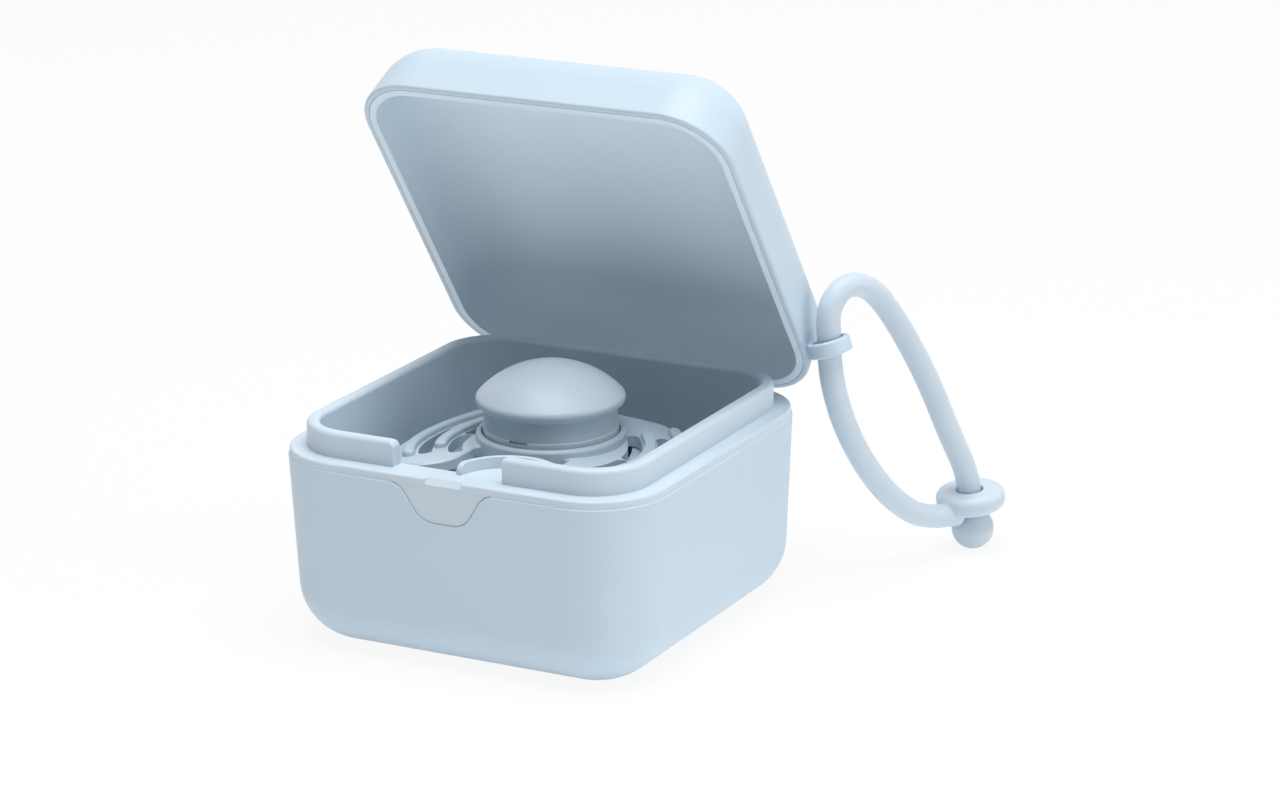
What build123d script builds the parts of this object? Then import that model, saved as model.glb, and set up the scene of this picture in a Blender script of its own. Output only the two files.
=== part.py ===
"""Pacifier steriliser case: a square two-walled box with a hinged lid, a steam tray and a pacifier.

Millimetres, +Z up, X to the right, the front (with the thumb dip) towards -Y.
The origin is on the underside of the base, in the middle. The lid stands open as it rests.
"""
from build123d import *
import math
import os

os.makedirs("parts", exist_ok=True)

# ---- case ----
CASE_WIDTH = 80.0
CASE_DEPTH = 80.0
CORNER_RADIUS = 15.0        # plan corners of the case
BASE_EDGE = 12.0            # rounding under the base
BASE_DRAFT = 2.8            # degrees
SHELL_TOP = 37.5            # top edge of the outer shell
SHELL_WALL = 1.6
LEDGE_Z = 39.0              # the ledge that the lid closes on
BAND_INSET = 0.3
EDGE_EASING = 0.4           # small rounding of the visible edges
PART_CLEARANCE = 0.1        # between pieces that are fixed to each other

# ---- tub ----
COLLAR_HEIGHT = 5.0
COLLAR_INSET = 3.7
COLLAR_WALL = 2.6
COLLAR_ROUNDING = 0.9
TUB_WALL = 2.2
TUB_FLOOR = 1.9
TUB_LIFT = 2.0              # the tub's underside above the table
TUB_EDGE = 8.0              # rounding under the tub
SKIRT_DEPTH = 3.0

# ---- front of the base ----
DIP_SHOULDER = 9.2          # half width of the dip where its shoulders start
DIP_BOTTOM = 4.6
DIP_DEPTH = 7.3
DIP_RADIUS = 4.6
GAP_LEFT = -12.3            # opening in the collar
GAP_RIGHT = 11.3
GAP_ROUNDING = 1.6
GAP_EASING = 0.6            # its right upper corner
PRY_X = -3.4
PRY_WIDTH = 7.8
PRY_SIZE = 1.1
SPOUT_X = 11.5
SPOUT_Y = -36.2
SPOUT_RADIUS = 10.8
SPOUT_WALL = 1.1
SPOUT_HEIGHT = 2.2
SPOUT_FLOOR = 1.8
SPOUT_ROUNDING = 1.9

# ---- hinge ----
HINGE_OUT = -0.2            # hinge axis behind the back wall's outer face
HINGE_BELOW = 2.0           # hinge axis below the ledge
HINGE_SPREAD = 16.0
KNUCKLE_RADIUS = 2.0
KNUCKLE_GAP = 0.3
LID_KNUCKLE = 9.0
BASE_KNUCKLE = 3.5
PIN_RADIUS = 0.9
PIN_PRESS = 0.02
PIN_RUN = 0.06
HINGE_POCKET = 0.6          # room round the knuckles
STRAP_PLATE = 1.8           # the lid knuckle's plate on the lid's back wall
STRAP_PLATE_HEIGHT = 6.0

# ---- lid ----
LID_OPEN = 55.4             # degrees from closed, as it rests
LID_GROWTH = 0.2            # the lid stands this much wider than the base all round
LID_HEIGHT = 17.1
LID_CORNER = 13.2           # plan corners of the lid's rim
LID_EDGE = 11.0             # rounding over the lid
LID_DRAFT = 6.0
LID_WALL = 1.2
RIM_GAP = 0.3               # lid rim above the ledge when closed
RIM_WIDTH = 2.7
RIM_ROUNDING = 0.5          # outer edge of the lid's rim
LEAD_IN_DEPTH = 2.8
LEAD_IN_SLOPE = 11.0        # degrees
LINER_WALL = 1.2
LINER_GAP = 0.6             # air between liner and lid, at the top

# ---- strap eyelet ----
EYELET_OUT = 4.3
EYELET_FROM_BACK = 13.2
EYELET_ABOVE_RIM = 2.4
EYELET_RADIUS = 4.3
EYELET_BORE = 3.25
EYELET_HEIGHT = 3.0
EYELET_ARM = 3.4
EYELET_EASING = 0.5
EYELET_TILT = 18.0          # degrees, its outer side up

# ---- strap ----
CORD_RADIUS = 2.4
STRAP_TURN = 66.5           # degrees from +X, the way the loop lies
RING_RADIUS = 7.0
RING_THICKNESS = 4.0
RING_BORE_GAP = 0.3
RING_EASING = 1.2
RING_ALONG = 38.0
RING_LEAN = 6.0
BOSS_ALONG = 30.2           # where the ring's boss meets the cord
BOSS_UP = 8.7
BOSS_FALL = 8.0             # degrees
BOSS_LENGTH = 3.2
BOSS_RUN = 5.4              # straight cord before the boss
BALL_RADIUS = 4.3
BALL_GAP = 0.3
BALL_STUB = 0.6
STRAP_LEAD = 5.0            # straight cord above the ring

# ---- tray ----
TRAY_Z = 22.0
TRAY_THICKNESS = 1.8
TRAY_GAP = 0.4
TRAY_HOLE = 13.0
REST_REACH = 1.6            # how far the rests reach under the tray
REST_WIDTH = 2.4
REST_HEIGHT = 8.0
REST_SPREAD = 17.0
REST_GRIP = 0.8             # how far the rests run into the wall
CRADLE_RADIUS = 17.5
CRADLE_WALL = 1.8
CRADLE_HOLE = 2.3
CRADLE_HOLES = 8
VENT_COUNT = 16
VENT_TO_CRADLE = 1.8        # plastic between the vents and the cradle
VENT_TO_EDGE = 4.2          # plastic between the vents and the tray's edge
VENT_WIDTH = 3.4

# ---- pacifier ----
PACIFIER_X = 1.4
PACIFIER_Y = 0.6
SHIELD_HALF_WIDTH = 28.4
SHIELD_SHIFT = 5.6          # its widest place lies this far in front of its axis
SHIELD_FRONT = 25.0
SHIELD_BACK = 17.5
SHIELD_CROWN = 130.0        # radius that the shield is bent to, about Y
SHIELD_TOP = 36.8
SHIELD_THICKNESS = 2.2
SHIELD_CORNER = 6.0
WING_TIP = 1.2
NOSE_HALF_WIDTH = 10.2
WING_LAND = 3.4             # straight front of each wing, between the nose and the wing's tip
NOSE_ROOT = 7.0             # the notch's end, hidden in the round middle
NOSE_CORNER = 0.8
SEAT_GAP = 0.3              # shield above the cradle
BOSS_RADIUS = 14.7          # round part of the shield, under the button
BOSS_RISE = 1.1
BOSS_ROUNDING = 0.7
BUTTON_SEAT_DROP = 1.0
BUTTON_SEAT_RADIUS = 13.6
BUTTON_BASE_RADIUS = 13.3
BUTTON_BASE_HEIGHT = 3.2
BUTTON_BASE_EASING = 0.4
BUTTON_RADIUS = 14.6
BUTTON_NECK = 13.0
BUTTON_NECK_HEIGHT = 4.0
BUTTON_DOME = 7.1           # rise of the button above its widest place
BUTTON_LIP = 1.4
BUTTON_WALL = 2.0
OPENER_WIDTH = 4.0
OPENER_HEIGHT = 0.6
OPENER_DEPTH = 0.8
TEAT_NECK = 6.0
TEAT_GAP = 0.2
TEAT_FLANGE = 9.0
TEAT_FLANGE_THICKNESS = 1.6
TEAT_LIP = 7.4              # bore of the ring that holds the teat's flange down
TEAT_ROOT = 10.5
TEAT_ROOT_HEIGHT = 3.0
TEAT_WAIST = 6.6
TEAT_WAIST_DOWN = 8.4
TEAT_BULB = 8.0
TEAT_LENGTH = 22.8
SLOT_WIDTH = 2.8
OUTER_SLOT_MARGIN = 5.2     # from the shield's outline to the middle of a slot or lip
LIP_MARGIN = 8.1
RIM_MARGIN = 2.0
INNER_SLOT_MARGIN = 11.0
LIP_WIDTH = 2.4
LIP_HEIGHT = 1.2
LIP_ROUNDING = 0.6
VENT_SLOTS = (               # margin, first angle, last angle, on the right half
    (OUTER_SLOT_MARGIN, -30.0, 38.0),
    (INNER_SLOT_MARGIN, -36.0, -4.0),
    (INNER_SLOT_MARGIN, 6.0, 42.0),
)
LIPS = (
    (RIM_MARGIN, -32.0, 46.0),
    (LIP_MARGIN, -24.0, 42.0),
)

# ---- worked out from the sizes above ----
COLLAR_TOP = LEDGE_Z + COLLAR_HEIGHT
CAVITY_INSET = COLLAR_INSET + COLLAR_WALL
CAVITY_FLOOR = TUB_LIFT + TUB_FLOOR
BASE_SLOPE = math.tan(math.radians(BASE_DRAFT))
HINGE_Y = CASE_DEPTH / 2 + HINGE_OUT
HINGE_Z = LEDGE_Z - HINGE_BELOW
HINGE_LENGTH = LID_KNUCKLE + 2 * (KNUCKLE_GAP + BASE_KNUCKLE)
RIM_RISE = HINGE_BELOW + RIM_GAP
OPEN = math.radians(LID_OPEN)
LID_PLANE = Plane((0, HINGE_Y, HINGE_Z), x_dir=(1, 0, 0), z_dir=(0, math.sin(OPEN), math.cos(OPEN)))
BASE_HINGE_PLANE = Plane((0, HINGE_Y, HINGE_Z))
RIM_PLANE = LID_PLANE.offset(RIM_RISE)
DRAFT = math.radians(BASE_DRAFT)
FRONT_PLANE = Plane(
    (0, -CASE_DEPTH / 2, SHELL_TOP), x_dir=(1, 0, 0), z_dir=(0, -math.cos(DRAFT), -math.sin(DRAFT))
)
EYELET = LID_PLANE.from_local_coords(
    Vector(
        CASE_WIDTH / 2 + EYELET_OUT, CASE_DEPTH / 2 - EYELET_FROM_BACK - HINGE_Y,
        RIM_RISE + EYELET_ABOVE_RIM,
    )
)
TURN = math.radians(STRAP_TURN)
STRAP_PLANE = Plane(
    (EYELET.X, EYELET.Y, 0),
    x_dir=(math.cos(TURN), math.sin(TURN), 0),
    z_dir=(math.sin(TURN), -math.cos(TURN), 0),
)
LEAN = math.radians(RING_LEAN)
RING_TO_BALL = RING_THICKNESS / 2 + BALL_GAP + BALL_RADIUS
RING_UP = BALL_RADIUS + RING_TO_BALL * math.cos(LEAN)
BALL_ALONG = RING_ALONG + RING_TO_BALL * math.sin(LEAN)
CORD_END = BALL_RADIUS + BALL_STUB - RING_TO_BALL
BOSS_DIRECTION = (math.cos(math.radians(BOSS_FALL)), -math.sin(math.radians(BOSS_FALL)))
SHIELD_AXIS_Z = SHIELD_TOP - SHIELD_CROWN
WING_END = math.sqrt(SHIELD_HALF_WIDTH**2 - (SHIELD_FRONT - SHIELD_SHIFT) ** 2)
NOSE_FLARE = WING_END - WING_LAND - NOSE_HALF_WIDTH
BUTTON_SEAT_Z = SHIELD_TOP - BUTTON_SEAT_DROP
PARTING_Z = BUTTON_SEAT_Z + BUTTON_BASE_HEIGHT
PACIFIER_PLANE = Plane((PACIFIER_X, PACIFIER_Y, 0))

# The strap's middle line, along the strap's plane and up, from the ball to the ring's boss.
STRAP_ROUTE = [
    (RING_ALONG - CORD_END * math.sin(LEAN), RING_UP + CORD_END * math.cos(LEAN)),
    (RING_ALONG - STRAP_LEAD * math.sin(LEAN), RING_UP + STRAP_LEAD * math.cos(LEAN)),
    (32.2, 25.4),
    (26.8, 37.0),
    (20.2, 48.3),
    (13.6, 57.6),
    (8.6, 61.6),
    (3.3, 62.1),
    (-0.45, 58.2),
    (-0.25, 53.0),
    (0.0, 47.6),
    (0.8, 42.2),
    (3.2, 35.0),
    (6.8, 27.9),
    (11.8, 20.6),
    (17.8, 14.2),
    (BOSS_ALONG - BOSS_RUN * BOSS_DIRECTION[0], BOSS_UP - BOSS_RUN * BOSS_DIRECTION[1]),
    (BOSS_ALONG, BOSS_UP),
]


def cavity_inset(height):
    """How far the tub's inner wall lies inside the case's outline at a height."""
    return CAVITY_INSET + (COLLAR_TOP - height) * BASE_SLOPE


def shield_height(radius, across):
    """Height of the shield's bent surface of a radius, at a distance across from its middle."""
    return SHIELD_AXIS_Z + math.sqrt(radius**2 - across**2)


def case_block(plane, inset, height, taper=0.0, mode=Mode.ADD):
    """A rounded square block of the case's outline, set in by an inset."""
    with BuildSketch(plane) as outline:
        RectangleRounded(CASE_WIDTH - 2 * inset, CASE_DEPTH - 2 * inset, CORNER_RADIUS - inset)
    extrude(to_extrude=outline.sketch, amount=height, taper=taper, mode=mode)


def looking_down(height):
    """A plane at a height that faces the table, so that drafted blocks narrow downwards."""
    return Plane((0, 0, height), x_dir=(1, 0, 0), z_dir=(0, 0, -1))


def lid_block(rise, inset, height, taper, mode=Mode.ADD):
    """A rounded square block of the lid's outline, standing on a plane above the lid's rim."""
    side = LID_GROWTH - inset
    with BuildSketch(RIM_PLANE.offset(rise)) as outline:
        with Locations((0, -HINGE_Y)):
            RectangleRounded(CASE_WIDTH + 2 * side, CASE_DEPTH + 2 * side, LID_CORNER - inset)
    extrude(to_extrude=outline.sketch, amount=height, taper=taper, mode=mode)


def rounded_case_block(top, bottom, inset, edge):
    """A drafted block of the case's outline between two heights, rounded underneath."""
    with BuildPart() as block:
        case_block(looking_down(top), inset, top - bottom, BASE_DRAFT)
        fillet(block.faces().sort_by(Axis.Z)[0].edges(), edge)
    return block.part


def rounded_lid_block(rise, inset, top, edge):
    """A drafted block of the lid's outline between two heights above the rim, rounded on top."""
    with BuildPart() as block:
        lid_block(rise, inset, top - rise, LID_DRAFT)
        fillet(block.faces().sort_by(Axis(RIM_PLANE.origin, RIM_PLANE.z_dir))[-1].edges(), edge)
    return block.part


def dip_outline(depth, shrink=0.0):
    """The thumb dip with its rounded shoulders, at a depth behind the shell's front face."""
    wing = DIP_SHOULDER + 2 * DIP_RADIUS
    top = 2 * PART_CLEARANCE
    with BuildSketch(FRONT_PLANE.offset(-depth)) as dip:
        with BuildLine():
            Polyline(
                (-wing, top), (-wing, 0), (-DIP_SHOULDER, 0), (-DIP_BOTTOM, -DIP_DEPTH),
                (DIP_BOTTOM, -DIP_DEPTH), (DIP_SHOULDER, 0), (wing, 0), (wing, top), close=True,
            )
        make_face()
        fillet(dip.vertices().filter_by(lambda corner: abs(corner.X) < wing - DIP_RADIUS), DIP_RADIUS)
        if shrink:
            offset(amount=-shrink, mode=Mode.REPLACE)
    return dip.sketch


def along_hinge(plane, radius, start, length, mode=Mode.ADD):
    """A cylinder along the hinge axis of a hinge plane, from a place along X."""
    origin = plane.from_local_coords(Vector(start, 0, 0))
    with BuildSketch(Plane(origin, x_dir=(0, 1, 0), z_dir=(1, 0, 0))) as section:
        Circle(radius)
    extrude(to_extrude=section.sketch, amount=length, mode=mode)


def arc_slot(circle, first, last, width):
    """A slot along a circle, between two angles in degrees."""
    angles = [math.radians(angle) for angle in (first, (first + last) / 2, last)]
    places = [(circle * math.cos(angle), circle * math.sin(angle)) for angle in angles]
    SlotArc(ThreePointArc(*places, mode=Mode.PRIVATE), height=width)


def is_seam_edge(edge):
    """Tells the shell's outer edges along the band and down the thumb dip."""
    middle = edge.position_at(0.5)
    wall = (SHELL_TOP - middle.Z) * BASE_SLOPE
    reach = max(abs(middle.X), abs(middle.Y))
    on_wall = abs(CASE_DEPTH / 2 - wall - reach) < EDGE_EASING / 4
    on_corner = abs(middle.Z - SHELL_TOP) < EDGE_EASING / 4 and math.hypot(
        abs(middle.X) - CASE_WIDTH / 2 + CORNER_RADIUS, abs(middle.Y) - CASE_DEPTH / 2 + CORNER_RADIUS
    ) > CORNER_RADIUS - EDGE_EASING / 4
    return middle.Z > SHELL_TOP - DIP_DEPTH - 1 and (on_wall or on_corner)


def make_outer_shell():
    cavity = rounded_case_block(SHELL_TOP, SHELL_WALL, SHELL_WALL, BASE_EDGE - SHELL_WALL)
    with BuildPart() as shell:
        add(rounded_case_block(SHELL_TOP, 0, 0, BASE_EDGE))
        add(cavity, mode=Mode.SUBTRACT)
        extrude(to_extrude=dip_outline(-SHELL_WALL), amount=-3 * SHELL_WALL, mode=Mode.SUBTRACT)
        fillet(shell.edges().filter_by(is_seam_edge), EDGE_EASING)
        for side in (-1, 1):
            first = side * HINGE_SPREAD - HINGE_LENGTH / 2
            along_hinge(BASE_HINGE_PLANE, KNUCKLE_RADIUS, first, HINGE_LENGTH)
            along_hinge(
                BASE_HINGE_PLANE, KNUCKLE_RADIUS + HINGE_POCKET, first + BASE_KNUCKLE,
                LID_KNUCKLE + 2 * KNUCKLE_GAP, Mode.SUBTRACT,
            )
            along_hinge(BASE_HINGE_PLANE, PIN_RADIUS + PIN_PRESS, first, HINGE_LENGTH, Mode.SUBTRACT)
    shell.part.label = "outer_shell"
    return shell.part


def make_band():
    """The flat band round the case between the outer shell and the lid, with the collar above it."""
    with BuildPart() as band:
        case_block(Plane.XY.offset(SHELL_TOP), BAND_INSET, LEDGE_Z - SHELL_TOP)
        fillet(band.faces().sort_by(Axis.Z)[-1].edges(), EDGE_EASING)
        case_block(Plane.XY.offset(LEDGE_Z), COLLAR_INSET, COLLAR_HEIGHT)
    return band.part


def make_inner_tub():
    outer_inset = cavity_inset(LEDGE_Z) - TUB_WALL
    collar_middle = COLLAR_INSET + COLLAR_WALL / 2 - CASE_DEPTH / 2
    body = rounded_case_block(LEDGE_Z, TUB_LIFT, outer_inset, TUB_EDGE)
    cavity = rounded_case_block(COLLAR_TOP, CAVITY_FLOOR, CAVITY_INSET, TUB_EDGE - TUB_WALL)
    pry_plane = Plane(
        (PRY_X, BAND_INSET - CASE_DEPTH / 2, LEDGE_Z), x_dir=(0, 1, 0), z_dir=(1, 0, 0)
    )
    with BuildPart() as tub:
        add(body)
        case_block(looking_down(SHELL_TOP), SHELL_WALL + PART_CLEARANCE, SKIRT_DEPTH, BASE_DRAFT)
        add(make_band())
        add(cavity, mode=Mode.SUBTRACT)
        fillet(tub.faces().sort_by(Axis.Z)[-1].edges(), COLLAR_ROUNDING)
        extrude(
            to_extrude=dip_outline(BAND_INSET + PART_CLEARANCE, PART_CLEARANCE),
            amount=-TUB_WALL / 2 - outer_inset + BAND_INSET,
        )

        # The opening in the collar, with rounded upper corners
        with BuildSketch(Plane((0, collar_middle, LEDGE_Z), x_dir=(1, 0, 0), z_dir=(0, -1, 0))):
            with BuildLine():
                FilletPolyline(
                    (GAP_LEFT - 2 * COLLAR_HEIGHT, COLLAR_HEIGHT), (GAP_LEFT, COLLAR_HEIGHT),
                    (GAP_LEFT, 0), radius=GAP_ROUNDING,
                )
                Line((GAP_LEFT, 0), (GAP_RIGHT, 0))
                FilletPolyline(
                    (GAP_RIGHT, 0), (GAP_RIGHT, COLLAR_HEIGHT),
                    (GAP_RIGHT + 2 * COLLAR_HEIGHT, COLLAR_HEIGHT), radius=GAP_EASING,
                )
                Polyline(
                    (GAP_RIGHT + 2 * COLLAR_HEIGHT, COLLAR_HEIGHT),
                    (GAP_RIGHT + 2 * COLLAR_HEIGHT, 2 * COLLAR_HEIGHT),
                    (GAP_LEFT - 2 * COLLAR_HEIGHT, 2 * COLLAR_HEIGHT),
                    (GAP_LEFT - 2 * COLLAR_HEIGHT, COLLAR_HEIGHT),
                )
            make_face()
        extrude(amount=COLLAR_WALL, both=True, mode=Mode.SUBTRACT)

        # The splash pocket behind the opening
        with BuildSketch(Plane.XY.offset(LEDGE_Z - SPOUT_FLOOR)):
            with Locations((SPOUT_X, SPOUT_Y)):
                Circle(SPOUT_RADIUS)
            with Locations((SPOUT_X, collar_middle)):
                Rectangle(
                    2 * SPOUT_RADIUS, 2 * SPOUT_RADIUS, align=(Align.CENTER, Align.MIN),
                    mode=Mode.INTERSECT,
                )
        extrude(amount=SPOUT_FLOOR + SPOUT_HEIGHT)
        with BuildSketch(Plane.XY.offset(LEDGE_Z)):
            with Locations((SPOUT_X, SPOUT_Y)):
                Circle(SPOUT_RADIUS - SPOUT_WALL)
            with Locations((GAP_RIGHT, collar_middle + COLLAR_WALL / 2)):
                Rectangle(
                    2 * SPOUT_RADIUS, 2 * COLLAR_WALL, align=(Align.MIN, Align.MAX), mode=Mode.SUBTRACT
                )
        extrude(amount=SPOUT_HEIGHT, mode=Mode.SUBTRACT)
        corner_plane = Plane(
            (SPOUT_X - SPOUT_RADIUS - SPOUT_WALL, collar_middle, LEDGE_Z + SPOUT_HEIGHT),
            x_dir=(0, 1, 0), z_dir=(1, 0, 0),
        )
        with BuildSketch(corner_plane):
            Rectangle(SPOUT_ROUNDING, SPOUT_ROUNDING, align=(Align.MIN, Align.MAX))
            with Locations((SPOUT_ROUNDING, -SPOUT_ROUNDING)):
                Circle(SPOUT_ROUNDING, mode=Mode.SUBTRACT)
        extrude(amount=3 * SPOUT_WALL, mode=Mode.SUBTRACT)

        # Rests that carry the tray
        rest_length = TRAY_GAP + REST_REACH + REST_GRIP
        side_rest = CASE_WIDTH / 2 - cavity_inset(TRAY_Z) + REST_GRIP - rest_length / 2
        back_rest = CASE_DEPTH / 2 - cavity_inset(TRAY_Z) + REST_GRIP - rest_length / 2
        with BuildSketch(Plane.XY.offset(TRAY_Z - REST_HEIGHT)):
            with GridLocations(2 * side_rest, 2 * REST_SPREAD, 2, 2):
                Rectangle(rest_length, REST_WIDTH)
            with Locations((-REST_SPREAD, back_rest), (REST_SPREAD, back_rest)):
                Rectangle(REST_WIDTH, rest_length)
        extrude(amount=REST_HEIGHT)

        # The bevel that a fingertip gets under, below the lid
        with BuildSketch(pry_plane):
            with BuildLine():
                Polyline(
                    (-BAND_INSET, BAND_INSET), (PRY_SIZE, BAND_INSET), (PRY_SIZE, 0),
                    (0, -PRY_SIZE), (-BAND_INSET, -PRY_SIZE), close=True,
                )
            make_face()
        extrude(amount=PRY_WIDTH, mode=Mode.SUBTRACT)

        for side in (-1, 1):
            along_hinge(
                BASE_HINGE_PLANE, KNUCKLE_RADIUS + HINGE_POCKET,
                side * HINGE_SPREAD - HINGE_LENGTH / 2 - PART_CLEARANCE,
                HINGE_LENGTH + 2 * PART_CLEARANCE, Mode.SUBTRACT,
            )
    tub.part.label = "inner_tub"
    return tub.part


def make_hinge_pin(side, name):
    with BuildPart() as pin:
        along_hinge(BASE_HINGE_PLANE, PIN_RADIUS, side * HINGE_SPREAD - HINGE_LENGTH / 2, HINGE_LENGTH)
    pin.part.label = name
    return pin.part


def eyelet_disc(plane):
    """The round, soft-edged disc that the eyelet is bored through."""
    with BuildPart() as disc:
        with BuildSketch(plane):
            Circle(EYELET_RADIUS)
        extrude(amount=EYELET_HEIGHT)
        fillet(disc.edges(), EYELET_EASING)
    return disc.part


def make_lid_shell():
    cavity_top = LID_HEIGHT - LID_WALL
    tilt = math.radians(EYELET_TILT)
    eyelet_plane = Plane(
        EYELET, x_dir=(math.cos(tilt), 0, math.sin(tilt)), z_dir=(-math.sin(tilt), 0, math.cos(tilt))
    ).offset(-EYELET_HEIGHT / 2)
    wall_x = CASE_WIDTH / 2 + LID_GROWTH - LID_WALL / 2
    with BuildPart() as lid:
        add(rounded_lid_block(0, 0, LID_HEIGHT, LID_EDGE))
        fillet(lid.faces().sort_by(Axis(RIM_PLANE.origin, RIM_PLANE.z_dir))[0].edges(), RIM_ROUNDING)
        add(rounded_lid_block(0, LID_WALL, cavity_top, LID_EDGE - LID_WALL), mode=Mode.SUBTRACT)

        # Knuckles on plates that rise over the back wall
        plate = STRAP_PLATE + LID_WALL - PART_CLEARANCE + HINGE_OUT - LID_GROWTH
        for side in (-1, 1):
            middle = side * HINGE_SPREAD
            plate_plane = Plane(
                LID_PLANE.from_local_coords(Vector(middle - LID_KNUCKLE / 2, 0, 0)),
                x_dir=LID_PLANE.y_dir, z_dir=(1, 0, 0),
            )
            with BuildSketch(plate_plane):
                with Locations((STRAP_PLATE, 0)):
                    Rectangle(
                        plate, RIM_RISE + STRAP_PLATE_HEIGHT,
                        align=(Align.MAX, Align.MIN),
                    )
            extrude(amount=LID_KNUCKLE)
            along_hinge(LID_PLANE, KNUCKLE_RADIUS, middle - LID_KNUCKLE / 2, LID_KNUCKLE)
            along_hinge(
                LID_PLANE, PIN_RADIUS + PIN_RUN, middle - LID_KNUCKLE / 2, LID_KNUCKLE, Mode.SUBTRACT
            )

        # Eyelet on an arm
        add(eyelet_disc(eyelet_plane))
        with BuildSketch(eyelet_plane):
            Rectangle(EYELET.X - wall_x, EYELET_ARM, align=(Align.MAX, Align.CENTER))
        extrude(amount=EYELET_HEIGHT)
        with BuildSketch(eyelet_plane):
            Circle(EYELET_BORE)
        extrude(amount=EYELET_HEIGHT, mode=Mode.SUBTRACT)
    lid.part.label = "lid_shell"
    return lid.part


def make_lid_liner():
    lead_in = LEAD_IN_DEPTH * math.tan(math.radians(LEAD_IN_SLOPE))
    wall_inset = RIM_WIDTH + lead_in
    liner_top = LID_HEIGHT - LID_WALL - LINER_GAP
    flange_inset = LID_WALL + PART_CLEARANCE
    edge = LID_EDGE - LID_WALL - LINER_GAP
    with BuildPart() as liner:
        add(rounded_lid_block(LEAD_IN_DEPTH, wall_inset - LINER_WALL, liner_top, edge))
        lid_block(0, flange_inset, LEAD_IN_DEPTH, LID_DRAFT)
        add(
            rounded_lid_block(LEAD_IN_DEPTH, wall_inset, liner_top - LINER_WALL, edge - LINER_WALL),
            mode=Mode.SUBTRACT,
        )
        lid_block(0, RIM_WIDTH, LEAD_IN_DEPTH, LEAD_IN_SLOPE, Mode.SUBTRACT)
    liner.part.label = "lid_liner"
    return liner.part


def make_tray_insert():
    half_x = CASE_WIDTH / 2 - cavity_inset(TRAY_Z) - TRAY_GAP
    half_y = CASE_DEPTH / 2 - cavity_inset(TRAY_Z) - TRAY_GAP
    cradle_top = SHIELD_TOP - SHIELD_THICKNESS
    seat_radius = SHIELD_CROWN - SHIELD_THICKNESS - SEAT_GAP
    tray_top = TRAY_Z + TRAY_THICKNESS
    vent_start = CRADLE_RADIUS + VENT_TO_CRADLE
    vent_end = min(half_x, half_y) - VENT_TO_EDGE
    with BuildPart() as tray:
        with BuildSketch(Plane.XY.offset(TRAY_Z)):
            RectangleRounded(2 * half_x, 2 * half_y, CORNER_RADIUS - cavity_inset(TRAY_Z) - TRAY_GAP)
            with Locations((SPOUT_X, SPOUT_Y)):
                Circle(SPOUT_RADIUS + 2 * TRAY_GAP, mode=Mode.SUBTRACT)
            with Locations((PACIFIER_X, PACIFIER_Y)):
                Circle(TRAY_HOLE, mode=Mode.SUBTRACT)
                with PolarLocations((vent_start + vent_end) / 2, VENT_COUNT, start_angle=180 / VENT_COUNT):
                    SlotOverall(vent_end - vent_start, VENT_WIDTH, mode=Mode.SUBTRACT)
        extrude(amount=TRAY_THICKNESS)
        with BuildSketch(Plane.XY.offset(TRAY_Z)):
            with Locations((PACIFIER_X, PACIFIER_Y)):
                Circle(CRADLE_RADIUS)
                Circle(CRADLE_RADIUS - CRADLE_WALL, mode=Mode.SUBTRACT)
        extrude(amount=cradle_top - TRAY_Z)

        # The cradle's top follows the underside of the shield
        seat_plane = Plane(
            (PACIFIER_X, PACIFIER_Y - CRADLE_RADIUS, SHIELD_AXIS_Z), x_dir=(1, 0, 0), z_dir=(0, 1, 0)
        )
        with BuildSketch(seat_plane):
            Circle(seat_radius + CRADLE_WALL * 2)
            Circle(seat_radius, mode=Mode.SUBTRACT)
        extrude(amount=2 * CRADLE_RADIUS, mode=Mode.SUBTRACT)

        # Steam holes through the cradle
        cradle_middle = (tray_top + cradle_top) / 2
        for number in range(CRADLE_HOLES):
            angle = math.radians((number + 0.5) * 360 / CRADLE_HOLES)
            hole_plane = Plane(
                (PACIFIER_X, PACIFIER_Y, cradle_middle), x_dir=(0, 0, 1),
                z_dir=(math.cos(angle), math.sin(angle), 0),
            )
            with BuildSketch(hole_plane):
                Circle(CRADLE_HOLE)
            extrude(amount=CRADLE_RADIUS + CRADLE_WALL, mode=Mode.SUBTRACT)
    tray.part.label = "tray_insert"
    return tray.part


def is_wing_tip(corner):
    """Tells the two front corners where the shield's round outline ends."""
    from_middle = math.hypot(corner.X, corner.Y + SHIELD_SHIFT)
    return abs(from_middle - SHIELD_HALF_WIDTH) < PART_CLEARANCE and corner.Y < -SHIELD_SHIFT


def is_nose_corner(corner):
    """Tells the two corners where the shield's wings meet its round middle."""
    across = abs(abs(corner.X) - NOSE_HALF_WIDTH)
    return across < PART_CLEARANCE and -BOSS_RADIUS < corner.Y < -NOSE_ROOT


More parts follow.
